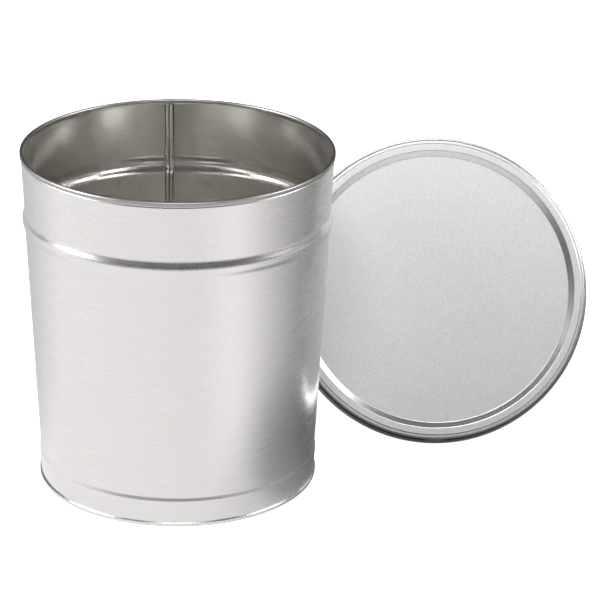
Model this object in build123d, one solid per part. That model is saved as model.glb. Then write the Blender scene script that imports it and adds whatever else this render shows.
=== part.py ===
from build123d import *
import math
import os

# A slip-lid tin: a rolled and lock-seamed tinplate body, a bottom end held by a double seam,
# and a stamped lid that stands beside the open tin, leaning back.
# Millimetres, +Z up. The origin is the centre of the bottom seam's standing face.

# Sheet metal
sheet = 0.30  # tinplate thickness of every piece

# Tin body, outside sizes
can_height = 284.0  # standing face to the top of the rim curl
rim_outer_r = 128.0  # outer radius of the rim curl
side_taper = 0.0491  # radius lost for each millimetre of height
curl_width = 2.9  # rim curl, measured along the radius
curl_height = 4.0  # rim curl, measured along the height
curl_overhang = 0.9  # how far the rim curl stands outside the neck
neck_inset = 0.5  # how much the neck is set in from the line of the wall below
bead_drop = 57.5  # rim top to the middle of the stiffening bead
bead_height = 14.0
bead_proud = 2.0
foot_band_height = 24.0  # standing face to the step of the foot band
foot_step = 0.95  # how much the foot band is wider than the wall above
foot_shoulder = 3.0  # height of the sloping step

# Lock seam down the inside of the body
lock_width = 7.2
lock_thickness = 0.9  # three more layers of sheet
lock_angle = 93.5  # degrees from +X, at the back of the tin
lock_bury = 0.05  # how far the folded layers are let into the wall

# Double seam and bottom end
seam_height = 3.4
seam_gap = 0.06  # between neighbouring layers of the double seam
compound = 0.20  # sealing compound lying in the bend of the bottom end
hook_relief = 0.10  # from each hook's tip to the bend that it points at
panel_height = 4.0  # standing face to the middle of the bottom panel's sheet
panel_bead_inset = 9.0  # chuck wall to the middle of the panel's expansion bead
panel_bead_width = 8.0
panel_bead_rise = 1.2

# Lid
lid_clearance = 1.30  # lid skirt's inside to the rim curl's outside
skirt_depth = 16.0  # face plane to the lip of the skirt
lip_curl = 3.6  # diameter of the outward curl at the skirt's lip
face_corner = 1.3  # bend between the face and the skirt
outer_band = 2.9  # width of the band that rides over the rim curl, corner included
band_step = 0.6  # how far that band lies under the flat ring
ring_width = 5.6  # flat ring between the band and the slope
slope_width = 4.8
panel_recess = 2.6  # flat ring down to the centre panel

# How the lid stands beside the tin
lid_lean = 27.5  # degrees that the lid leans back from upright
lid_turn = 0.0  # degrees that its face is turned towards +X
lid_set_back = 91.0  # tin axis to the lid's centre, along +Y
lid_gap = 3.4  # level gap between the lid's edge and the tin's widest outline
lid_floor_gap = 0.05  # keeps the lip's lowest point just above the floor

# Layers of the double seam, as radii of the middle of each sheet
layer = sheet + seam_gap
rim_base = can_height - curl_height
bead_mid = can_height - bead_drop
seam_exit = seam_height + 0.8


def neck_r(z):
    """Outside radius of the neck's line at a height."""
    return rim_outer_r - curl_overhang - side_taper * (rim_base - z)


def wall_r(z):
    """Outside radius of the wall between the foot band and the bead."""
    return neck_r(z) + neck_inset


body_mid_r = wall_r(seam_exit) + foot_step - sheet / 2
chuck_mid_r = body_mid_r - layer
cover_hook_r = body_mid_r + layer
body_hook_r = body_mid_r + 2 * layer
seaming_wall_r = body_mid_r + 3 * layer
body_bend_z = sheet + compound + sheet / 2

# Lid radii, from the outside in, as the middle of the sheet
skirt_mid_r = rim_outer_r + lid_clearance + sheet / 2
band_in_r = skirt_mid_r - outer_band
ring_out_r = band_in_r - band_step
ring_in_r = ring_out_r - ring_width
panel_r = ring_in_r - slope_width
lip_mid_r = lip_curl / 2 - sheet / 2


def sheet_section(points, radii, thickness):
    """Section of a folded sheet, from the line along the middle of its thickness."""
    path = FilletPolyline(*points, radius=radii)
    outline = offset(path, amount=thickness / 2, kind=Kind.ARC, side=Side.BOTH)
    return make_face(outline)


def spin_section(section):
    """Full turn of a section drawn with X as the radius and Y as the height."""
    reach = 4 * (rim_outer_r + can_height)
    half = Rectangle(reach, 2 * reach, align=(Align.MIN, Align.CENTER))
    upright = Plane.XZ * (section & half)
    return revolve(upright, Axis.Z, 360)


def wall_points(shift):
    """The wall from the foot band to the neck, moved inwards by shift."""
    half = bead_height / 2
    crown = 0.14 * bead_height
    step_low = foot_band_height - foot_shoulder / 2
    step_high = foot_band_height + foot_shoulder / 2
    drawn = [
        (wall_r(step_low) + foot_step, step_low),
        (wall_r(step_high), step_high),
        (wall_r(bead_mid - half), bead_mid - half),
        (wall_r(bead_mid - crown) + bead_proud, bead_mid - crown),
        (neck_r(bead_mid + crown) + bead_proud, bead_mid + crown),
        (neck_r(bead_mid + half), bead_mid + half),
    ]
    return [(r - sheet / 2 - shift, z) for r, z in drawn]


wall_bends = [2.5, 2.5, 8.0, 9.0, 9.0, 8.0]


def make_body():
    """Body wall, with the body hook at its foot, the rim curl and the lock seam."""
    hook_top = seam_height - sheet - hook_relief - sheet / 2
    curl_in_r = rim_outer_r - curl_width + sheet / 2
    curl_out_r = rim_outer_r - sheet / 2
    curl_top = can_height - sheet / 2
    curl_under = rim_base + sheet / 2
    neck_top = rim_base - 1.0
    points = [
        (body_hook_r, hook_top),
        (body_hook_r, body_bend_z),
        (body_mid_r, body_bend_z),
        (body_mid_r, seam_exit),
        *wall_points(0),
        (neck_r(neck_top) - sheet / 2, neck_top),
        (curl_in_r, rim_base + 1.4),
        (curl_in_r, curl_top),
        (curl_out_r, curl_top),
        (curl_out_r, curl_under),
        (curl_out_r - 0.5, curl_under),
    ]
    turn = 0.95 * layer
    round_top = 0.49 * (curl_width - sheet)
    radii = [turn, turn, 3.0, *wall_bends, 0.8, 0.8, round_top, round_top, 0.4]
    shell = spin_section(sheet_section(points, radii, sheet))
    return shell + make_lock_seam()


def make_lock_seam():
    """The folded layers of the side seam, on the inside of the wall."""
    shift = sheet / 2 + lock_thickness / 2 - lock_bury / 2
    low = seam_exit + 2.0
    high = rim_base - 2.5
    points = [
        (wall_r(low) + foot_step - sheet / 2 - shift, low),
        *wall_points(shift),
        (neck_r(high) - sheet / 2 - shift, high),
    ]
    ring = spin_section(sheet_section(points, wall_bends, lock_thickness + lock_bury))
    slab = Box(
        2 * rim_outer_r,
        lock_width,
        2 * can_height,
        align=(Align.MIN, Align.CENTER, Align.CENTER),
    )
    return ring & (Rot(0, 0, lock_angle) * slab)


def make_bottom_end():
    """Bottom end: panel with an expansion bead, chuck wall, seaming wall and cover hook."""
    bead_r = chuck_mid_r - panel_bead_inset
    half = panel_bead_width / 2
    crown = half - 2.2
    top = panel_height + panel_bead_rise
    hook_tip = body_bend_z + sheet / 2 + hook_relief + sheet / 2
    points = [
        (-5.0, panel_height),
        (bead_r - half, panel_height),
        (bead_r - crown, top),
        (bead_r + crown, top),
        (bead_r + half, panel_height),
        (chuck_mid_r, panel_height),
        (chuck_mid_r, sheet / 2),
        (seaming_wall_r, sheet / 2),
        (seaming_wall_r, seam_height - sheet / 2),
        (cover_hook_r, seam_height - sheet / 2),
        (cover_hook_r, hook_tip),
    ]
    turn = 0.95 * layer
    radii = [1.5, 1.5, 1.5, 1.5, 0.8, turn, turn, turn, turn]
    return spin_section(sheet_section(points, radii, sheet))


def make_compound():
    """Ring of sealing compound between the body's bend and the bottom end."""
    width = body_hook_r - body_mid_r
    section = Pos(body_mid_r, sheet) * Rectangle(
        width, compound, align=(Align.MIN, Align.MIN)
    )
    return spin_section(section)


def lid_facing():
    """Unit vectors of the leaning lid: out of its face, and level along its face."""
    lean = math.radians(lid_lean)
    turn = math.radians(lid_turn)
    normal = (
        math.sin(turn) * math.cos(lean),
        -math.cos(turn) * math.cos(lean),
        math.sin(lean),
    )
    level = (math.cos(turn), math.sin(turn), 0.0)
    return normal, level


def lid_centre_z():
    """Height of the lid's face centre when its lip stands on the floor."""
    lean = math.radians(lid_lean)
    lip_r = skirt_mid_r + lip_mid_r
    lip_depth = skirt_depth - lip_curl / 2
    reach = lip_depth * math.sin(lean) + lip_r * math.cos(lean) + lip_curl / 2
    return reach + lid_floor_gap


def lid_spacing(centre_x):
    """Smallest level distance from the lid's edges to the tin's widest wall line."""
    normal, level = lid_facing()
    lean = math.radians(lid_lean)
    turn = math.radians(lid_turn)
    steep = (-math.sin(turn) * math.sin(lean), math.cos(turn) * math.sin(lean), math.cos(lean))
    centre = (centre_x, lid_set_back, lid_centre_z())
    edges = [(skirt_mid_r + lip_mid_r, skirt_depth - lip_curl / 2, lip_curl / 2)]
    edges.append((skirt_mid_r - face_corner, face_corner, face_corner))
    nearest = 4 * rim_outer_r
    for radius, depth, bulge in edges:
        for step in range(360):
            a = math.radians(step)
            spot = [
                centre[i]
                - depth * normal[i]
                + radius * (math.cos(a) * level[i] + math.sin(a) * steep[i])
                for i in range(3)
            ]
            tin = max(wall_r(spot[2]) + foot_step, neck_r(spot[2]) + bead_proud)
            tin = min(tin, rim_outer_r)
            nearest = min(nearest, math.hypot(spot[0], spot[1]) - tin - bulge)
    return nearest


def lid_centre_x():
    """Sideways place of the lid that leaves lid_gap between it and the tin."""
    near = 0.0
    far = 3 * rim_outer_r + skirt_mid_r
    for _ in range(40):
        middle = (near + far) / 2
        if middle > skirt_mid_r / 2 and lid_spacing(middle) > lid_gap:
            far = middle
        else:
            near = middle
    return far


def make_lid():
    """Stamped lid: recessed panel, sloped wall, flat ring, outer band, skirt and lip curl."""
    face = -sheet / 2
    band = face - band_step
    lip_low = -skirt_depth + sheet / 2
    lip_high = lip_low + 2 * lip_mid_r
    lip_out_r = skirt_mid_r + 2 * lip_mid_r
    points = [
        (-5.0, face - panel_recess),
        (panel_r, face - panel_recess),
        (ring_in_r, face),
        (ring_out_r, face),
        (band_in_r, band),
        (skirt_mid_r, band),
        (skirt_mid_r, lip_low),
        (lip_out_r, lip_low),
        (lip_out_r, lip_high),
        (skirt_mid_r + 1.2, lip_high),
    ]
    roll = 0.97 * lip_mid_r
    radii = [1.2, 1.2, 0.4, 0.4, face_corner, roll, roll, 0.9]
    flat_lid = spin_section(sheet_section(points, radii, sheet))
    normal, level = lid_facing()
    stand = Plane(
        origin=(lid_centre_x(), lid_set_back, lid_centre_z()),
        x_dir=level,
        z_dir=normal,
    )
    return stand.location * flat_lid


def write_node(shape, name):
    """Write one piece under its node's name."""
    solids = shape.solids()
    print(name, len(solids), "solid", round(sum(s.volume for s in solids), 1), "mm3")
    whole = solids[0] if len(solids) == 1 else Compound(children=solids)
    export_step(whole, "parts/" + name + ".step")


os.makedirs("parts", exist_ok=True)
write_node(make_body(), "can_body")
write_node(make_bottom_end(), "bottom_end")
write_node(make_compound(), "seam_compound")
write_node(make_lid(), "lid")
print("lid centre", round(lid_centre_x(), 2), lid_set_back, round(lid_centre_z(), 2))
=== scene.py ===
# %% [markdown]
# # A tall round tin with a slip lid
# The object is a plain tinplate tin: a tapered body rolled from one sheet, a bottom end folded on
# with a double seam, and a stamped lid that stands beside it, leaning back. We start from the
# engineering model, which fixes every size, and make finer pieces in its place.

import bpy
import math
from mathutils import Matrix, Vector


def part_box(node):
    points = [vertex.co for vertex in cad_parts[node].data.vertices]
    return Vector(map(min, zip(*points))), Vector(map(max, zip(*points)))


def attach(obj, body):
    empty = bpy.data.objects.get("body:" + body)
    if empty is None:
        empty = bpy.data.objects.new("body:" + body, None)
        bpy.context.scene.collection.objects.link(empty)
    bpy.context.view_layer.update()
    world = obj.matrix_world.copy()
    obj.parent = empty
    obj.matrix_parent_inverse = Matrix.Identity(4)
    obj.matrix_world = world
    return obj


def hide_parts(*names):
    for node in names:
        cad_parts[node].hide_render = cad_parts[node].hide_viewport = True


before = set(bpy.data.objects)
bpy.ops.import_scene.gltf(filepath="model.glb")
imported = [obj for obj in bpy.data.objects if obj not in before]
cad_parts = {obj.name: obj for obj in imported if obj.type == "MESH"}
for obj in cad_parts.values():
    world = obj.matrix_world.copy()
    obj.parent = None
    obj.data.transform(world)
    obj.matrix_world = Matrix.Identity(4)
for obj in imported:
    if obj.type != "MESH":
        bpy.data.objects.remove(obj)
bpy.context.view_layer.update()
body_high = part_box("can_body")[1]
end_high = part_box("bottom_end")[1]
lid_low, lid_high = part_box("lid")
print("tin height", round(body_high.z, 4), "rim radius", round(body_high.x, 4))
print("bottom end radius", round(end_high.x, 4))

# %% [markdown]
# ## Sizes
# Blender works in metres, so a helper turns millimetres into metres and the sizes below can be
# read as a tinsmith would write them. The two overall sizes come from the loaded model. The rest
# are the folds of the sheet: each one is written once, under its own name.

# %% Sizes of the sheet metal
mm = 0.001
can_height = body_high.z
rim_r = body_high.x
sheet = 0.30 * mm
side_taper = 0.0491
curl_width = 2.9 * mm
curl_height = 4.0 * mm
curl_overhang = 0.9 * mm
neck_inset = 0.5 * mm
bead_mid = can_height - 57.5 * mm
bead_height = 14.0 * mm
bead_proud = 2.0 * mm
foot_height = 24.0 * mm
foot_step = 0.95 * mm
seam_height = 3.4 * mm
layer_gap = 0.06 * mm
hook_gap = 0.10 * mm
layer = sheet + layer_gap
mid = sheet / 2
rim_base = can_height - curl_height
seam_exit = seam_height + 0.8 * mm


def neck_r(z):
    return rim_r - curl_overhang - side_taper * (rim_base - z)


def wall_r(z):
    return neck_r(z) + neck_inset


body_mid_r = wall_r(seam_exit) + foot_step - mid
print("wall radius at the foot", round(body_mid_r, 5))

# %% [markdown]
# ## Camera
# The camera comes early, so that every later look at the scene is the right one. A long lens from
# about two and a quarter metres keeps the tin's sides calm. The camera looks down on the rim, a
# little to the right of the tin, and is rolled by one degree. There is no lens shift.

# %% Camera
camera_data = bpy.data.cameras.new("camera")
camera_data.lens = 174.0
camera_data.sensor_width = 36.0
camera = bpy.data.objects.new("camera", camera_data)
bpy.context.scene.collection.objects.link(camera)
look_down = math.radians(22.235)
look_right = math.radians(2.604)
roll = math.radians(0.992)
aim = (
    Matrix.Rotation(-look_right, 4, "Z")
    @ Matrix.Rotation(math.pi / 2 - look_down, 4, "X")
    @ Matrix.Rotation(roll, 4, "Z")
)
camera_place = (0.0, -2.2212, 1.0602)
camera.matrix_world = Matrix.Translation(camera_place) @ aim
bpy.context.scene.camera = camera
print("camera at", [round(v, 3) for v in camera.matrix_world.translation])

# %% [markdown]
# ## Drawing a folded sheet
# Every piece here is a turned sheet, so all of them are made the same way, as a metal spinner
# would: draw half of the section as a line, round its corners, spin the line about the tin's
# axis, and give the surface its thickness. The line starts as a plane merged into one point, and
# each further point is extruded from the last. Bevelling a point of the line gives a round bend;
# how far the bevel must reach follows from the bend's radius and how sharply the line turns.

# %% Helpers for edit mode
def edit(obj):
    """Enter edit mode on one object, with nothing selected."""
    bpy.ops.object.select_all(action="DESELECT")
    obj.select_set(True)
    bpy.context.view_layer.objects.active = obj
    bpy.ops.object.mode_set(mode="EDIT")
    bpy.ops.mesh.select_mode(type="VERT")
    bpy.ops.mesh.select_all(action="DESELECT")


def leave():
    """Go back to object mode."""
    bpy.ops.object.mode_set(mode="OBJECT")


def choose(obj, kind, test):
    """Select the points or faces for which test says yes."""
    leave()
    for item in [*obj.data.vertices, *obj.data.edges, *obj.data.polygons]:
        item.select = False
    items = obj.data.vertices if kind == "VERT" else obj.data.polygons
    for item in items:
        item.select = test(item)
    chosen = sum(item.select for item in items)
    bpy.ops.object.mode_set(mode="EDIT")
    bpy.ops.mesh.select_mode(type=kind)
    return chosen


def apply_modifiers(obj):
    """Apply the modifiers of an object, top one first."""
    for modifier in list(obj.modifiers):
        bpy.ops.object.modifier_apply(modifier=modifier.name)


print("edit helpers ready")

# %% Helpers that draw a section, round it and spin it
same_point = 0.01 * mm
merge_within = 0.004 * mm
degrees_a_segment = 11
fewest_segments = 3
spin_steps = 256
sharp_angle = math.radians(35)


def draw_section(name, points):
    """A line through the points, given as radius and height, in the plane y = 0."""
    bpy.ops.object.select_all(action="DESELECT")
    r, z = points[0]
    bpy.ops.mesh.primitive_plane_add(size=2 * mm, location=(r, 0.0, z))
    obj = bpy.context.object
    obj.name = name
    obj.data.name = name
    bpy.ops.object.transform_apply(location=True, rotation=False, scale=False)
    edit(obj)
    bpy.ops.mesh.select_all(action="SELECT")
    bpy.ops.mesh.merge(type="CENTER")
    for (r0, z0), (r1, z1) in zip(points, points[1:]):
        step = {"value": (r1 - r0, 0.0, z1 - z0)}
        bpy.ops.mesh.extrude_vertices_move(TRANSFORM_OT_translate=step)
    return obj


def round_bends(obj, points, bends):
    """Bevel each corner of the drawn line to its bend radius."""
    for before, here, after, radius in zip(points, points[1:], points[2:], bends):
        into = Vector(here) - Vector(before)
        out = Vector(after) - Vector(here)
        turn = into.angle(out)
        reach = radius * math.tan(turn / 2)
        spot = Vector((here[0], 0.0, here[1]))
        choose(obj, "VERT", lambda v: (v.co - spot).length < same_point)
        segments = max(fewest_segments, round(math.degrees(turn) / degrees_a_segment))
        bpy.ops.mesh.bevel(offset=reach, segments=segments, affect="VERTICES")


def spin_sheet(obj):
    """Spin the line about the Z axis and give the sheet its thickness."""
    bpy.ops.mesh.select_all(action="SELECT")
    bpy.ops.mesh.spin(steps=spin_steps, angle=2 * math.pi, center=(0, 0, 0), axis=(0, 0, 1))
    bpy.ops.mesh.select_all(action="SELECT")
    bpy.ops.mesh.remove_doubles(threshold=merge_within)
    bpy.ops.mesh.normals_make_consistent(inside=False)
    leave()
    wall = obj.modifiers.new("wall", "SOLIDIFY")
    wall.thickness = sheet
    wall.offset = 0.0
    wall.use_even_offset = True
    apply_modifiers(obj)


def smooth_sheet(obj):
    """Smooth shading that leaves the broad faces flat and the cut edges sharp."""
    bpy.ops.object.select_all(action="DESELECT")
    obj.select_set(True)
    bpy.context.view_layer.objects.active = obj
    bpy.ops.object.shade_smooth_by_angle(angle=sharp_angle)
    even = obj.modifiers.new("even", "WEIGHTED_NORMAL")
    even.mode = "FACE_AREA"
    even.keep_sharp = True
    apply_modifiers(obj)


print("sheet helpers ready, a full turn in", spin_steps, "steps")

# %% [markdown]
# ## Tin body
# The body is one sheet. From the foot up its section is: the hook inside the double seam, the
# slightly wider foot band and its shoulder, the long tapered wall, the rounded stiffening bead,
# the neck and the rim, where the edge is rolled over outwards. A lathe modifier could turn it
# too, but the spin operator gives a plain mesh whose faces we can still pick and push. The wall
# between foot band and neck has its own function, because the lock seam will follow the same
# line.

# %% Line of the wall
half_bead = bead_height / 2
crown = 0.14 * bead_height
half_step = 1.5 * mm
step_low = foot_height - half_step
step_high = foot_height + half_step


def wall_line(shift):
    """Points of the wall between the foot band and the neck, moved inwards by shift."""
    drawn = [
        (wall_r(step_low) + foot_step, step_low),
        (wall_r(step_high), step_high),
        (wall_r(bead_mid - half_bead), bead_mid - half_bead),
        (wall_r(bead_mid - crown) + bead_proud, bead_mid - crown),
        (neck_r(bead_mid + crown) + bead_proud, bead_mid + crown),
        (neck_r(bead_mid + half_bead), bead_mid + half_bead),
    ]
    return [(r - mid - shift, z) for r, z in drawn]


step_bend = 2.5 * mm
bead_edge = 8.0 * mm
bead_crown = 9.0 * mm
wall_bends = [step_bend, step_bend, bead_edge, bead_crown, bead_crown, bead_edge]
print("wall points", len(wall_line(0.0)), "bead crown at", round(bead_mid, 4))

# %% Body section
hook_top = seam_height - 1.5 * sheet - hook_gap
body_bend = 1.5 * sheet + 2 * hook_gap
neck_top = rim_base - 1.0 * mm
curl_start = rim_base + 1.4 * mm
curl_in = rim_r - curl_width + mid
curl_out = rim_r - mid
curl_top = can_height - mid
curl_under = rim_base + mid
curl_end = curl_out - 0.5 * mm
body_points = [
    (body_mid_r + 2 * layer, hook_top),
    (body_mid_r + 2 * layer, body_bend),
    (body_mid_r, body_bend),
    (body_mid_r, seam_exit),
    *wall_line(0.0),
    (neck_r(neck_top) - mid, neck_top),
    (curl_in, curl_start),
    (curl_in, curl_top),
    (curl_out, curl_top),
    (curl_out, curl_under),
    (curl_end, curl_under),
]
hook_bend = 0.95 * layer
foot_bend = 3.0 * mm
neck_bend = 0.8 * mm
roll_bend = 0.49 * (curl_width - sheet)
edge_bend = 0.4 * mm
body_bends = [hook_bend, hook_bend, foot_bend, *wall_bends]
body_bends += [neck_bend, neck_bend, roll_bend, roll_bend, edge_bend]
tin_body = draw_section("tin_body", body_points)
round_bends(tin_body, body_points, body_bends)
spin_sheet(tin_body)
print("tin body faces", len(tin_body.data.polygons))

# %% [markdown]
# ## Lock seam
# The sheet's two upright edges are hooked into each other and hammered flat. On the inside this
# is a strip of folded layers, a little over seven millimetres wide: two low ridges with a narrow
# channel between them. A profile swept along a curve would give the strip as well, but it would
# be harder to squeeze in single places. So it is the wall's own line, extruded sideways in short
# steps that rise and fall, and then thickened.

# %% Strip of folded layers
lock_width = 7.2 * mm
lock_turn = math.radians(93.5)
lock_low = seam_exit + 2.0 * mm
lock_high = rim_base - 1.2 * mm
lock_sunk = 0.05 * mm
lock_cuts = 3
lock_points = [
    (wall_r(lock_low) + foot_step - mid - lock_sunk, lock_low),
    *wall_line(lock_sunk),
    (neck_r(lock_high) - mid - lock_sunk, lock_high),
]
lock_strip = draw_section("lock_strip", lock_points)
round_bends(lock_strip, lock_points, wall_bends)
bpy.ops.mesh.select_all(action="SELECT")
bpy.ops.mesh.subdivide(number_cuts=lock_cuts)
bpy.ops.transform.translate(value=(0.0, -lock_width / 2, 0.0))
# Each step is how far the strip rises from the wall, then how far it runs across.
lock_steps = [
    (0.55, 0.40),
    (0.40, 0.60),
    (0.15, 0.90),
    (-0.15, 0.90),
    (-0.45, 0.55),
    (-0.10, 0.25),
    (0.10, 0.25),
    (0.45, 0.50),
    (0.15, 0.80),
    (-0.15, 0.80),
    (-0.40, 0.55),
    (-0.55, 0.40),
]
for rise, run in lock_steps:
    step = {"value": (-rise * mm, run * mm, 0.0)}
    bpy.ops.mesh.extrude_region_move(TRANSFORM_OT_translate=step)
bpy.ops.mesh.select_all(action="SELECT")
bpy.ops.mesh.normals_make_consistent(inside=False)
leave()
layers = lock_strip.modifiers.new("layers", "SOLIDIFY")
layers.thickness = sheet
layers.offset = 0.0
apply_modifiers(lock_strip)
print("lock strip faces", len(lock_strip.data.polygons))

# %% [markdown]
# Where the strip crosses the stiffening bead, the rolls that press the bead squeeze its layers,
# so it spreads on the bead and just above it and draws in a little over that. The strip's points
# are taken in three bands of height and scaled sideways only. Then a small bevel softens its
# edges, and it is turned to its place at the back of the tin.

# %% Squeeze at the bead
squeeze_centre = (rim_r, 0.0, bead_mid)
# Each band starts and ends at a height from the bead's middle, and is made wider by a share.
squeezes = [(-3.4, 3.4, 1.35), (5.0, 9.0, 1.5), (9.0, 14.0, 0.85)]
for band_low, band_high, share in squeezes:
    choose(lock_strip, "VERT", lambda v: band_low * mm < v.co.z - bead_mid < band_high * mm)
    bpy.ops.transform.resize(value=(1.0, share, 1.0), center_override=squeeze_centre)
leave()
print("squeezed bands", len(squeezes))

# %% Soft edges, and the strip turned to its place
soft = lock_strip.modifiers.new("soft", "BEVEL")
soft.width = 0.22 * mm
soft.segments = 2
soft.limit_method = "ANGLE"
soft.angle_limit = math.radians(15)
apply_modifiers(lock_strip)
lock_strip.rotation_euler.z = lock_turn
bpy.ops.object.transform_apply(location=False, rotation=True, scale=False)
strip_low = [min(v.co[i] for v in lock_strip.data.vertices) for i in range(3)]
strip_high = [max(v.co[i] for v in lock_strip.data.vertices) for i in range(3)]
print("lock seam box", [round(v, 4) for v in strip_low + strip_high])

# %% [markdown]
# On the outside only a hairline is left of the seam. It could be a dark line in the finish, but a
# real dent also shows from the side and is part of the mesh itself. Three cuts through the outer
# wall make room for it, and the points of the middle cut are pushed in.

# %% Hairline on the outside
radial = Vector((math.cos(lock_turn), math.sin(lock_turn), 0.0))
across = Vector((-math.sin(lock_turn), math.cos(lock_turn), 0.0))
hairline = 3.1 * mm
hairline_half = 0.3 * mm
hairline_depth = 0.16 * mm
cut_reach = 4 * mm
edit(tin_body)
for place in (hairline - hairline_half, hairline, hairline + hairline_half):
    choose(
        tin_body,
        "FACE",
        lambda f: f.center.dot(radial) > 0 and abs(f.center.dot(across) - place) < cut_reach,
    )
    bpy.ops.mesh.bisect(plane_co=across * place, plane_no=across)


def on_hairline(point):
    """Say whether a point of the outer skin lies on the middle cut."""
    near = abs(point.co.dot(across) - hairline) < 0.05 * mm
    high = lock_low < point.co.z < lock_high - 1.5 * mm
    return near and high and point.co.dot(radial) > 0 and point.normal.dot(radial) > 0.3


pushed = choose(tin_body, "VERT", on_hairline)
bpy.ops.transform.translate(value=tuple(radial * -hairline_depth))
leave()
print("hairline points", pushed)

# %% [markdown]
# The seam ends as a flat lap of both edges inside the rolled rim, so the roll is a little thicker
# there. A second piece of sheet under the roll wouldn't be seen, so the roll's own points are
# swelled about its middle, over the width of the seam.

# %% Lap of the seam in the rim
lap_swell = (1.0, 1.25, 1.12)


def on_lap(point):
    """Say whether a point of the rolled rim lies over the seam."""
    near = abs(point.co.dot(across)) < lock_width / 2
    return near and point.co.z > rim_base and point.co.dot(radial) > 0


swelled = choose(tin_body, "VERT", on_lap)
lap_height = rim_base + 1.5 * mm
lap_centre = tuple(radial * (rim_r - curl_width / 2) + Vector((0.0, 0.0, lap_height)))
bpy.ops.transform.resize(value=lap_swell, center_override=lap_centre)
leave()
print("lap points", swelled)

# %% [markdown]
# On the real tin the seam and the wall are one sheet, so the strip is joined to the body and both
# become a single piece. It takes the place of the engineering model's body and stays with the tin
# when the lid moves.

# %% Join the strip to the body
bpy.ops.object.select_all(action="DESELECT")
lock_strip.select_set(True)
tin_body.select_set(True)
bpy.context.view_layer.objects.active = tin_body
bpy.ops.object.join()
smooth_sheet(tin_body)
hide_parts("can_body")
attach(tin_body, "can")
print("tin body faces", len(tin_body.data.polygons))

# %% [markdown]
# ## Bottom end
# The bottom is a stamped disc: a flat panel with one raised ring that lets it flex, a short wall
# down to the foot, and an edge folded up and over into the body's hook. The section starts on the
# axis, so the spin closes the panel in its middle once doubles are merged.

# %% Bottom end
chuck_r = body_mid_r - layer
panel_z = 4.0 * mm
ring_mid = chuck_r - 9.0 * mm
ring_foot = 4.0 * mm
ring_flat = 1.8 * mm
ring_rise = 1.2 * mm
end_points = [
    (0.0, panel_z),
    (ring_mid - ring_foot, panel_z),
    (ring_mid - ring_flat, panel_z + ring_rise),
    (ring_mid + ring_flat, panel_z + ring_rise),
    (ring_mid + ring_foot, panel_z),
    (chuck_r, panel_z),
    (chuck_r, mid),
    (body_mid_r + 3 * layer, mid),
    (body_mid_r + 3 * layer, seam_height - mid),
    (body_mid_r + layer, seam_height - mid),
    (body_mid_r + layer, body_bend + sheet + hook_gap),
]
ring_bend = 1.5 * mm
chuck_bend = 0.8 * mm
end_bends = [ring_bend] * 4 + [chuck_bend] + [hook_bend] * 4
bottom = draw_section("bottom_end_piece", end_points)
round_bends(bottom, end_points, end_bends)
spin_sheet(bottom)
smooth_sheet(bottom)
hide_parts("bottom_end")
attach(bottom, "can")
print("bottom end faces", len(bottom.data.polygons))

# %% [markdown]
# ## Lid
# The lid is stamped from one disc. From its middle outwards: a sunk panel, a short slope up to a
# flat ring, a small step down to the band that rides over the tin's rim, a bend into the skirt,
# and a lip rolled outwards. Its skirt is a little wider than the tin's rim, as it has to slip
# over it. A solid disc with a bevelled edge would do for the face alone, but the hollow back is
# open to view, so the lid is a turned sheet too.

# %% Lid section
slip = 1.30 * mm
skirt_depth = 16.0 * mm
lip = 3.6 * mm
lip_mid = lip / 2 - mid
skirt_r = rim_r + slip + mid
band_r = skirt_r - 2.9 * mm
ring_out = band_r - 0.6 * mm
ring_in = ring_out - 5.6 * mm
panel_r = ring_in - 4.8 * mm
ring_height = -mid
band_height = ring_height - 0.6 * mm
panel_height = ring_height - 2.6 * mm
lip_low = -skirt_depth + mid
lip_out = skirt_r + 2 * lip_mid
lip_high = lip_low + 2 * lip_mid
lip_end = skirt_r + 1.2 * mm
lid_points = [
    (0.0, panel_height),
    (panel_r, panel_height),
    (ring_in, ring_height),
    (ring_out, ring_height),
    (band_r, band_height),
    (skirt_r, band_height),
    (skirt_r, lip_low),
    (lip_out, lip_low),
    (lip_out, lip_high),
    (lip_end, lip_high),
]

# %% Lid turned from its section
slope_bend = 1.2 * mm
ring_edge = 0.4 * mm
shoulder = 1.3 * mm
lip_bend = 0.97 * lip_mid
lip_edge = 0.9 * mm
lid_bends = [slope_bend, slope_bend, ring_edge, ring_edge, shoulder]
lid_bends += [lip_bend, lip_bend, lip_edge]
lid = draw_section("stamped_lid", lid_points)
round_bends(lid, lid_points, lid_bends)
spin_sheet(lid)
print("lid radius over its lip", round(lip_out + mid, 5), "faces", len(lid.data.polygons))

# %% [markdown]
# The lid stands on its edge behind the tin and leans back. Its lowest point is on the lip, so the
# height of its centre follows from the lean, the skirt's depth and the lip's radius, and it rests
# a hair above the floor. The place is applied to the mesh, so that the object itself stays at the
# origin, unturned.

# %% Lean the lid back and set it down
lean = math.radians(27.5)
lid_set_back = 91.0 * mm
floor_gap = 0.05 * mm
lid_reach = (skirt_depth - lip / 2) * math.sin(lean) + (skirt_r + lip_mid) * math.cos(lean)
lid_place = Vector(
    ((lid_low.x + lid_high.x) / 2, lid_set_back, lid_reach + lip / 2 + floor_gap)
)
lid.rotation_euler.x = math.pi / 2 - lean
lid.location = lid_place
bpy.ops.object.transform_apply(location=True, rotation=True, scale=False)
smooth_sheet(lid)
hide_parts("lid")
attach(lid, "lid")
print("lid centre", [round(v, 4) for v in lid_place], "faces", len(lid.data.polygons))

# %% [markdown]
# ## Finishes
# Tinplate is mild steel with a thin coat of tin. Rolling leaves a faint grain round the body, and
# the tin itself freezes in small soft spangles. Both could be drawn as image textures, but noise
# in shader nodes has no seams and no fixed size. Each is a node group, so that the body, the end
# and the lid can use it at their own scale.

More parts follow.
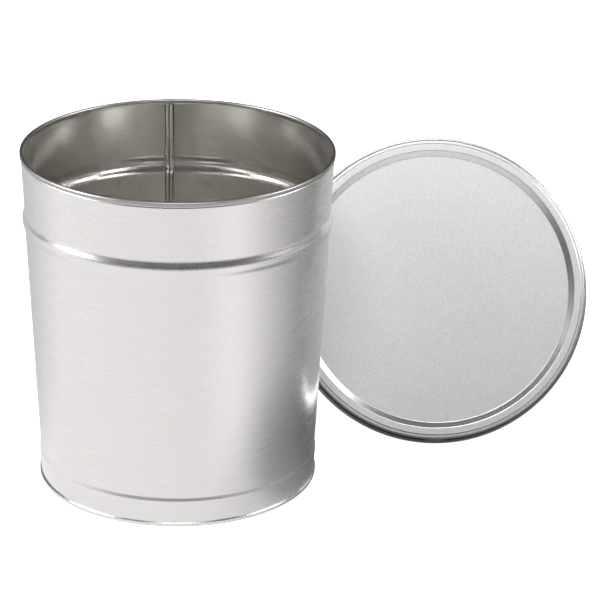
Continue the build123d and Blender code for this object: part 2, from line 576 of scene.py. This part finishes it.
# %% Helpers for shader nodes
def new_group(name, inputs, outputs):
    """A shader node group with named inputs and outputs."""
    group = bpy.data.node_groups.new(name, "ShaderNodeTree")
    for label, kind, value in inputs:
        socket = group.interface.new_socket(label, in_out="INPUT", socket_type=kind)
        if value is not None:
            socket.default_value = value
    for label, kind in outputs:
        group.interface.new_socket(label, in_out="OUTPUT", socket_type=kind)
    return group


def noise_node(tree, scale, detail, rough, place):
    node = tree.nodes.new("ShaderNodeTexNoise")
    node.inputs["Scale"].default_value = scale
    node.inputs["Detail"].default_value = detail
    node.inputs["Roughness"].default_value = rough
    node.location = place
    return node


def math_node(tree, operation, place, *values):
    node = tree.nodes.new("ShaderNodeMath")
    node.operation = operation
    node.location = place
    for socket, value in zip(node.inputs, values):
        if value is not None:
            socket.default_value = value
    return node


def range_node(tree, low, high, to_low, to_high, place):
    node = tree.nodes.new("ShaderNodeMapRange")
    node.inputs["From Min"].default_value = low
    node.inputs["From Max"].default_value = high
    node.inputs["To Min"].default_value = to_low
    node.inputs["To Max"].default_value = to_high
    node.location = place
    return node


print("node helpers ready")

# %% [markdown]
# The spangle group mixes a fine noise with a broad one about nine times as large. Cloud says how
# much of the broad noise shows. Tone goes to the colour and the roughness, Relief to the bump.

# %% Node group: spangle
broad_share = 0.11
spangle = new_group(
    "spangle",
    [
        ("Vector", "NodeSocketVector", None),
        ("Scale", "NodeSocketFloat", 600.0),
        ("Cloud", "NodeSocketFloat", 0.3),
    ],
    [("Tone", "NodeSocketFloat"), ("Relief", "NodeSocketFloat")],
)
inside = spangle.nodes.new("NodeGroupInput")
outside = spangle.nodes.new("NodeGroupOutput")
fine = noise_node(spangle, 600.0, 4.0, 0.6, (0, 200))
broad = noise_node(spangle, 60.0, 3.0, 0.5, (0, -100))
ratio = math_node(spangle, "MULTIPLY", (-200, -100), None, broad_share)
spangle.links.new(inside.outputs["Vector"], fine.inputs["Vector"])
spangle.links.new(inside.outputs["Vector"], broad.inputs["Vector"])
spangle.links.new(inside.outputs["Scale"], fine.inputs["Scale"])
spangle.links.new(inside.outputs["Scale"], ratio.inputs[0])
spangle.links.new(ratio.outputs[0], broad.inputs["Scale"])
blend = spangle.nodes.new("ShaderNodeMix")
blend.data_type = "FLOAT"
spangle.links.new(inside.outputs["Cloud"], blend.inputs["Factor"])
spangle.links.new(fine.outputs["Fac"], blend.inputs["A"])
spangle.links.new(broad.outputs["Fac"], blend.inputs["B"])
spangle.links.new(blend.outputs["Result"], outside.inputs["Tone"])
spangle.links.new(fine.outputs["Fac"], outside.inputs["Relief"])
print("group", spangle.name)

# %% [markdown]
# The grain is a noise squeezed to thin level lines. The sheet was rolled to thickness before it
# was bent into a tube, so the lines run round the body.

# %% Node group: rolling grain
grain_squeeze = (35.0, 35.0, 1100.0)
grain = new_group(
    "rolling_grain",
    [("Vector", "NodeSocketVector", None)],
    [("Grain", "NodeSocketFloat")],
)
inside = grain.nodes.new("NodeGroupInput")
outside = grain.nodes.new("NodeGroupOutput")
stretch = grain.nodes.new("ShaderNodeMapping")
stretch.inputs["Scale"].default_value = grain_squeeze
lines = noise_node(grain, 1.0, 2.0, 0.5, (200, 0))
grain.links.new(inside.outputs["Vector"], stretch.inputs["Vector"])
grain.links.new(stretch.outputs["Vector"], lines.inputs["Vector"])
grain.links.new(lines.outputs["Fac"], outside.inputs["Grain"])
print("group", grain.name)

# %% [markdown]
# One builder makes each tinplate material from the two groups: its colour, how bright and rough
# it is, and how strongly the spangle and the grain show. The shader and its plain numbers stay in
# the material itself. The pattern values lie mostly between 0.3 and 0.7, so these are the ends of
# every ramp.

# %% Builder of a tinplate material
tone_low = 0.3
tone_high = 0.7
rough_spread = 0.05
bump_height = 0.02 * mm


def ramp_colours(tree, source, dark, light, place):
    """Turn a pattern value into a colour between dark and light."""
    ramp = tree.nodes.new("ShaderNodeValToRGB")
    ramp.color_ramp.elements[0].position = tone_low
    ramp.color_ramp.elements[0].color = (*dark, 1.0)
    ramp.color_ramp.elements[1].position = tone_high
    ramp.color_ramp.elements[1].color = (*light, 1.0)
    ramp.location = place
    tree.links.new(source, ramp.inputs["Fac"])
    return ramp


def tinplate(name, dark, light, rough, spangle_scale, cloud, relief, grain_share):
    """A metal with spangle and grain, mixed by grain_share."""
    material = bpy.data.materials.new(name)
    material.use_nodes = True
    tree = material.node_tree
    shader = tree.nodes["Principled BSDF"]
    shader.inputs["Metallic"].default_value = 1.0
    place = tree.nodes.new("ShaderNodeTexCoord")
    spots = tree.nodes.new("ShaderNodeGroup")
    spots.node_tree = spangle
    spots.inputs["Scale"].default_value = spangle_scale
    spots.inputs["Cloud"].default_value = cloud
    rolled = tree.nodes.new("ShaderNodeGroup")
    rolled.node_tree = grain
    tree.links.new(place.outputs["Object"], spots.inputs["Vector"])
    tree.links.new(place.outputs["Object"], rolled.inputs["Vector"])
    tone = tree.nodes.new("ShaderNodeMix")
    tone.data_type = "FLOAT"
    tone.inputs["Factor"].default_value = grain_share
    tree.links.new(spots.outputs["Tone"], tone.inputs["A"])
    tree.links.new(rolled.outputs["Grain"], tone.inputs["B"])
    colour = ramp_colours(tree, tone.outputs["Result"], dark, light, (200, 300))
    tree.links.new(colour.outputs["Color"], shader.inputs["Base Color"])
    smooth, coarse = rough - rough_spread, rough + rough_spread
    polish = range_node(tree, tone_low, tone_high, smooth, coarse, (200, 0))
    tree.links.new(tone.outputs["Result"], polish.inputs["Value"])
    tree.links.new(polish.outputs["Result"], shader.inputs["Roughness"])
    bump = tree.nodes.new("ShaderNodeBump")
    bump.inputs["Strength"].default_value = relief
    bump.inputs["Distance"].default_value = bump_height
    height = tree.nodes.new("ShaderNodeMix")
    height.data_type = "FLOAT"
    height.inputs["Factor"].default_value = grain_share
    tree.links.new(spots.outputs["Relief"], height.inputs["A"])
    tree.links.new(rolled.outputs["Grain"], height.inputs["B"])
    tree.links.new(height.outputs["Result"], bump.inputs["Height"])
    tree.links.new(bump.outputs["Normal"], shader.inputs["Normal"])
    return material


print("tinplate builder ready")

# %% [markdown]
# There are five finishes. The outside is satin, with fine grain. The inside and the bottom end
# are brighter, with larger spangle. The lid is dull from the press. The folds of the lock seam
# get a dark finish that is painted shade, standing in for the shade in the folds, and the rolled
# rim gets a greyer colour than the wall, painted shade that dims the highlights of the roll.

# %% The five finishes
satin = tinplate(
    "satin_tinplate", (0.74, 0.72, 0.71), (0.83, 0.81, 0.80), 0.29, 700.0, 0.3, 0.14, 0.6
)
bright = tinplate(
    "bright_tinplate", (0.71, 0.70, 0.68), (0.83, 0.817, 0.794), 0.21, 260.0, 0.4, 0.9, 0.25
)
stamped = tinplate(
    "stamped_tinplate", (0.62, 0.615, 0.62), (0.77, 0.765, 0.77), 0.52, 620.0, 0.08, 1.0, 0.0
)
# Painted shade: this dark finish stands in for the shade in the folds of the lock seam.
painted_seam_shade = tinplate(
    "painted_seam_shade", (0.16, 0.15, 0.14), (0.34, 0.33, 0.31), 0.38, 500.0, 0.4, 0.6, 0.2
)
# Painted shade: the rim's colour is darker than the wall's to dim the highlights of the roll.
painted_shade_rim = tinplate(
    "painted_shade_rim", (0.36, 0.355, 0.35), (0.50, 0.495, 0.485), 0.38, 600.0, 0.3, 0.3, 0.3
)
finishes = (satin, bright, stamped, painted_seam_shade, painted_shade_rim)
print("materials", [finish.name for finish in finishes])

# %% [markdown]
# The press draws the lid's slope and edge tight over the die and burnishes them, so they're
# smoother than its dull panel. A second material with its own faces would change abruptly, so the
# lid's one material gets a mask by distance from the lid's axis. A Mapping node first takes the
# leaning lid back to its flat place.

# %% Distance from the lid's axis
lid_tree = stamped.node_tree
lid_shader = lid_tree.nodes["Principled BSDF"]
lid_rough = lid_shader.inputs["Roughness"].links[0].from_socket
lid_coords = lid_tree.nodes.new("ShaderNodeTexCoord")
lid_flat = lid_tree.nodes.new("ShaderNodeMapping")
lid_flat.vector_type = "TEXTURE"
lid_flat.inputs["Location"].default_value = lid_place
lid_flat.inputs["Rotation"].default_value = (math.pi / 2 - lean, 0.0, 0.0)
lid_split = lid_tree.nodes.new("ShaderNodeSeparateXYZ")
lid_join = lid_tree.nodes.new("ShaderNodeCombineXYZ")
lid_distance = lid_tree.nodes.new("ShaderNodeVectorMath")
lid_distance.operation = "LENGTH"
links = lid_tree.links
links.new(lid_coords.outputs["Object"], lid_flat.inputs["Vector"])
links.new(lid_flat.outputs["Vector"], lid_split.inputs["Vector"])
links.new(lid_split.outputs["X"], lid_join.inputs["X"])
links.new(lid_split.outputs["Y"], lid_join.inputs["Y"])
links.new(lid_join.outputs["Vector"], lid_distance.inputs[0])
print("lid axis at", [round(v, 4) for v in lid_place])

# %% Burnished slope and edge of the lid
burnished_rough = 0.28
ramp_reach = skirt_r + 4.0 * mm
burnish = lid_tree.nodes.new("ShaderNodeValToRGB")
burnish.color_ramp.elements[0].position = 0.0
burnish.color_ramp.elements[0].color = (0.0, 0.0, 0.0, 1.0)
# Each stop is a radius and how burnished the lid is there.
burnish_stops = [
    (panel_r - 0.8 * mm, 0.0),
    (panel_r + 0.2 * mm, 1.0),
    (ring_in - 0.2 * mm, 1.0),
    (ring_in + 0.6 * mm, 0.0),
    (ring_out - 0.4 * mm, 0.0),
    (ring_out + 0.2 * mm, 0.8),
    (band_r + 0.8 * mm, 0.25),
    (skirt_r - 1.4 * mm, 0.25),
    (skirt_r - 0.8 * mm, 0.9),
]
while len(burnish.color_ramp.elements) < len(burnish_stops) + 1:
    burnish.color_ramp.elements.new(1.0)
for stop, (radius, share) in zip(list(burnish.color_ramp.elements)[1:], burnish_stops):
    stop.position = radius / ramp_reach
    stop.color = (share, share, share, 1.0)
to_share = range_node(lid_tree, 0.0, ramp_reach, 0.0, 1.0, (-300, -400))
polish_mix = lid_tree.nodes.new("ShaderNodeMix")
polish_mix.data_type = "FLOAT"
polish_mix.inputs["B"].default_value = burnished_rough
links.new(lid_distance.outputs["Value"], to_share.inputs["Value"])
links.new(to_share.outputs["Result"], burnish.inputs["Fac"])
links.new(burnish.outputs["Color"], polish_mix.inputs["Factor"])
links.new(lid_rough, polish_mix.inputs["A"])
links.new(polish_mix.outputs["Result"], lid_shader.inputs["Roughness"])
print("burnished from", round(panel_r, 4), "to", round(ring_in, 4))

# %% [markdown]
# One sheet has two finishes, so the body's faces are sorted by where they lie and which way they
# look: inwards is bright and outwards satin. The folds of the lock seam and the rolled rim then
# get a painted shade of their own.

# %% Body, bottom end and lid get their finish
def faces_inwards(face):
    """Say whether a face of the body looks at the tin's axis."""
    away = Vector((face.center.x, face.center.y, 0.0))
    return face.normal.dot(away) < 0 and face.center.z > seam_height


tin_body.data.materials.clear()
body_finishes = (satin, bright, painted_seam_shade, painted_shade_rim)
for finish in body_finishes:
    tin_body.data.materials.append(finish)
satin_slot, bright_slot, painted_shade_slot, shaded_rim_slot = range(len(body_finishes))
for polygon in tin_body.data.polygons:
    polygon.material_index = bright_slot if faces_inwards(polygon) else satin_slot
bottom.data.materials.clear()
bottom.data.materials.append(bright)
lid.data.materials.clear()
lid.data.materials.append(stamped)
print("inside faces", sum(p.material_index == bright_slot for p in tin_body.data.polygons))

# %% Painted shade in the folds of the lock seam and on the rolled rim
# Each fold is the stretch across the strip, in millimetres, whose inward faces get the painted
# shade.
folds = ((-3.8, -3.0), (-0.7, 0.1), (2.6, 3.4))
rim_shade_low = rim_base + 0.6 * mm
for polygon in tin_body.data.polygons:
    side = polygon.center.dot(across) / mm
    on_strip = polygon.center.dot(radial) > 0 and lock_low < polygon.center.z < lock_high
    in_fold = any(start < side < end for start, end in folds)
    # Painted shade: the inward faces in the folds get the dark finish.
    if on_strip and in_fold and faces_inwards(polygon):
        polygon.material_index = painted_shade_slot
    # Painted shade: every face above this height gets the darkened rim colour.
    if polygon.center.z > rim_shade_low:
        polygon.material_index = shaded_rim_slot
print("shaded faces", sum(p.material_index == painted_shade_slot for p in tin_body.data.polygons))
print("rim faces", sum(p.material_index == shaded_rim_slot for p in tin_body.data.polygons))

# %% [markdown]
# Sealing compound is a rubbery paste that is flowed into the bend of the bottom end before
# seaming, and it's what makes the seam tight. It's hidden in the seam, so the engineering model's
# shape is kept, and only its dull buff finish is made here.

# %% Sealing compound
paste_dark = (0.50, 0.45, 0.37)
paste_light = (0.60, 0.55, 0.47)
compound_paste = bpy.data.materials.new("sealing_compound")
compound_paste.use_nodes = True
paste_tree = compound_paste.node_tree
paste = paste_tree.nodes["Principled BSDF"]
paste.inputs["Roughness"].default_value = 0.7
paste_place = paste_tree.nodes.new("ShaderNodeTexCoord")
paste_noise = noise_node(paste_tree, 400.0, 2.0, 0.5, (-300, 0))
paste_tree.links.new(paste_place.outputs["Object"], paste_noise.inputs["Vector"])
paste_tone = paste_noise.outputs["Fac"]
paste_colour = ramp_colours(paste_tree, paste_tone, paste_dark, paste_light, (0, 0))
paste_tree.links.new(paste_colour.outputs["Color"], paste.inputs["Base Color"])
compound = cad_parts["seam_compound"]
compound.data.materials.clear()
compound.data.materials.append(compound_paste)
print("sealing compound on", compound.name)

# %% [markdown]
# ## Studio
# Bright metal shows its surroundings, so the studio is half of the look. The tapered wall leans
# forward and mirrors the floor, so the floor is pale and glows a little. The camera itself sees a
# pure white floor and a white room. A real studio gets that with strong lights on the paper; here
# a Light Path node tells the camera's rays apart, and the metal still meets a calmer room.

# %% Floor
def stage_plane(name, x_range, y_range, z, colour, rough):
    """A flat painted plane that belongs to the studio and not to the object."""
    bpy.ops.object.select_all(action="DESELECT")
    middle = (sum(x_range) / 2, sum(y_range) / 2, z)
    bpy.ops.mesh.primitive_plane_add(size=1.0, location=middle)
    plane = bpy.context.object
    plane.name = name
    plane.scale = (x_range[1] - x_range[0], y_range[1] - y_range[0], 1.0)
    bpy.ops.object.transform_apply(location=True, rotation=False, scale=True)
    paint = bpy.data.materials.new(name + "_paint")
    paint.use_nodes = True
    shader = paint.node_tree.nodes["Principled BSDF"]
    shader.inputs["Base Color"].default_value = (colour, colour, colour, 1.0)
    shader.inputs["Roughness"].default_value = rough
    plane.data.materials.append(paint)
    return plane, paint.node_tree, shader


white = (1.0, 1.0, 1.0, 1.0)
paper_rough = 0.9
floor_reach = (-8, 8)
floor_glow_share = 0.15
floor, floor_tree, floor_shader = stage_plane(
    "floor", floor_reach, floor_reach, 0.0, 0.85, paper_rough
)
floor_shader.inputs["Emission Color"].default_value = white
seen = floor_tree.nodes.new("ShaderNodeLightPath")
glow = range_node(floor_tree, 0.0, 1.0, floor_glow_share, 1.0, (-200, -200))
floor_tree.links.new(seen.outputs["Is Camera Ray"], glow.inputs["Value"])
floor_tree.links.new(glow.outputs["Result"], floor_shader.inputs["Emission Strength"])
print("floor", floor.name)

# %% [markdown]
# What the wall mirrors low down isn't even: it runs from bright at the left and front to dark at
# the right, where the ring holds a painted shadow of the tin on the floor. Cards would show sharp
# edges in the metal, so this is a soft glow just above the floor that only mirrored rays meet. A
# radial ramp sets its brightness round the tin, and a round spot dims it beside the tin's right
# foot.

# %% Ring of glow round the tin
glow_reach = (-1.6, 1.6)
glow_lift = 0.6 * mm
glow_plane, glow_tree, glow_shader = stage_plane(
    "floor_glow", glow_reach, glow_reach, glow_lift, 0.0, paper_rough
)
glow_plane.visible_camera = False
glow_plane.visible_diffuse = False
glow_plane.visible_shadow = False
glow_shader.inputs["Specular IOR Level"].default_value = 0.0
centred = glow_tree.nodes.new("ShaderNodeTexCoord")
turn_round = glow_tree.nodes.new("ShaderNodeTexGradient")
turn_round.gradient_type = "RADIAL"
glow_ring = glow_tree.nodes.new("ShaderNodeValToRGB")
# Each stop is a share of a full turn and the brightness there.
# Painted shadow: the low stops, round the tin's right side, stand in for the tin's shadow on the
# floor.
ring_stops = [
    (0.00, 1.00),
    (0.22, 0.97),
    (0.29, 0.93),
    (0.36, 1.10),
    (0.43, 0.72),
    (0.50, 0.38),
    (0.57, 0.24),
    (0.66, 0.20),
    (0.76, 0.50),
    (0.88, 0.66),
    (1.00, 1.00),
]
while len(glow_ring.color_ramp.elements) < len(ring_stops):
    glow_ring.color_ramp.elements.new(0.5)
for stop, (place, tone) in zip(glow_ring.color_ramp.elements, ring_stops):
    stop.position = place
    stop.color = (tone, tone, tone, 1.0)
glow_tree.links.new(centred.outputs["Object"], turn_round.inputs["Vector"])
glow_tree.links.new(turn_round.outputs["Fac"], glow_ring.inputs["Fac"])
glow_tree.links.new(glow_ring.outputs["Color"], glow_shader.inputs["Emission Color"])
print("glow", glow_plane.name, "stops", len(ring_stops))

# %% Painted shadow: dim spot in the glow
# Painted shadow: the spot stands in for the tin's shadow on the floor beside its right foot.
spot_x = 0.18
spot_y = -0.05
spot_r = 0.17
spot_core = 0.6
spot_share = 0.40
spot_place = glow_tree.nodes.new("ShaderNodeMapping")
spot_place.inputs["Location"].default_value = (-spot_x / spot_r, -spot_y / spot_r, 0.0)
spot_place.inputs["Scale"].default_value = (1 / spot_r, 1 / spot_r, 1 / spot_r)
spot_shape = glow_tree.nodes.new("ShaderNodeTexGradient")
spot_shape.gradient_type = "SPHERICAL"
painted_shadow_dim = range_node(glow_tree, 0.0, spot_core, 1.0, spot_share, (-200, -200))
glow_tree.links.new(centred.outputs["Object"], spot_place.inputs["Vector"])
glow_tree.links.new(spot_place.outputs["Vector"], spot_shape.inputs["Vector"])
glow_tree.links.new(spot_shape.outputs["Fac"], painted_shadow_dim.inputs["Value"])
glow_tree.links.new(painted_shadow_dim.outputs["Result"], glow_shader.inputs["Emission Strength"])
print("dim spot at", spot_x, spot_y, "radius", spot_r)

# %% [markdown]
# Three broad soft lights stand round the object: one at the left, a weaker one at the right, and
# one high up in front, which lights the leaning lid and the inside of the tin. Small lights would
# give hard glints on the metal. The room adds a faint even light. A mirrored ray may bounce
# twelve times, because the inside of the tin mirrors itself again and again.

# %% Lights
def soft_light(name, place, aim_at, width, height, power):
    """A rectangular area light turned to face a point."""
    data = bpy.data.lights.new(name, "AREA")
    data.shape = "RECTANGLE"
    data.size = width
    data.size_y = height
    data.energy = power
    light = bpy.data.objects.new(name, data)
    bpy.context.scene.collection.objects.link(light)
    light.location = place
    away = Vector(aim_at) - Vector(place)
    light.rotation_euler = away.to_track_quat("-Z", "Y").to_euler()
    return light


tin_heart = (0.0, 0.0, 0.15)
pair_heart = (0.1, 0.0, 0.15)
soft_light("left_softbox", (-2.0, -0.3, 1.3), tin_heart, 1.2, 1.6, 60.0)
soft_light("right_softbox", (2.1, -0.25, 1.45), pair_heart, 1.2, 1.4, 38.0)
soft_light("top_softbox", (0.0, -2.1, 3.3), pair_heart, 1.8, 1.2, 62.0)
print("lights set")

# %% Room
room_share = 0.07
mirror_bounces = 12
world = bpy.data.worlds.new("studio")
bpy.context.scene.world = world
world.use_nodes = True
world_tree = world.node_tree
room = world_tree.nodes["Background"]
ray = world_tree.nodes.new("ShaderNodeLightPath")
room.inputs["Color"].default_value = white
daylight = range_node(world_tree, 0.0, 1.0, room_share, 1.0, (-200, 0))
world_tree.links.new(ray.outputs["Is Camera Ray"], daylight.inputs["Value"])
world_tree.links.new(daylight.outputs["Result"], room.inputs["Strength"])
bpy.context.scene.view_settings.view_transform = "Standard"
bpy.context.scene.cycles.glossy_bounces = mirror_bounces
print("room set")
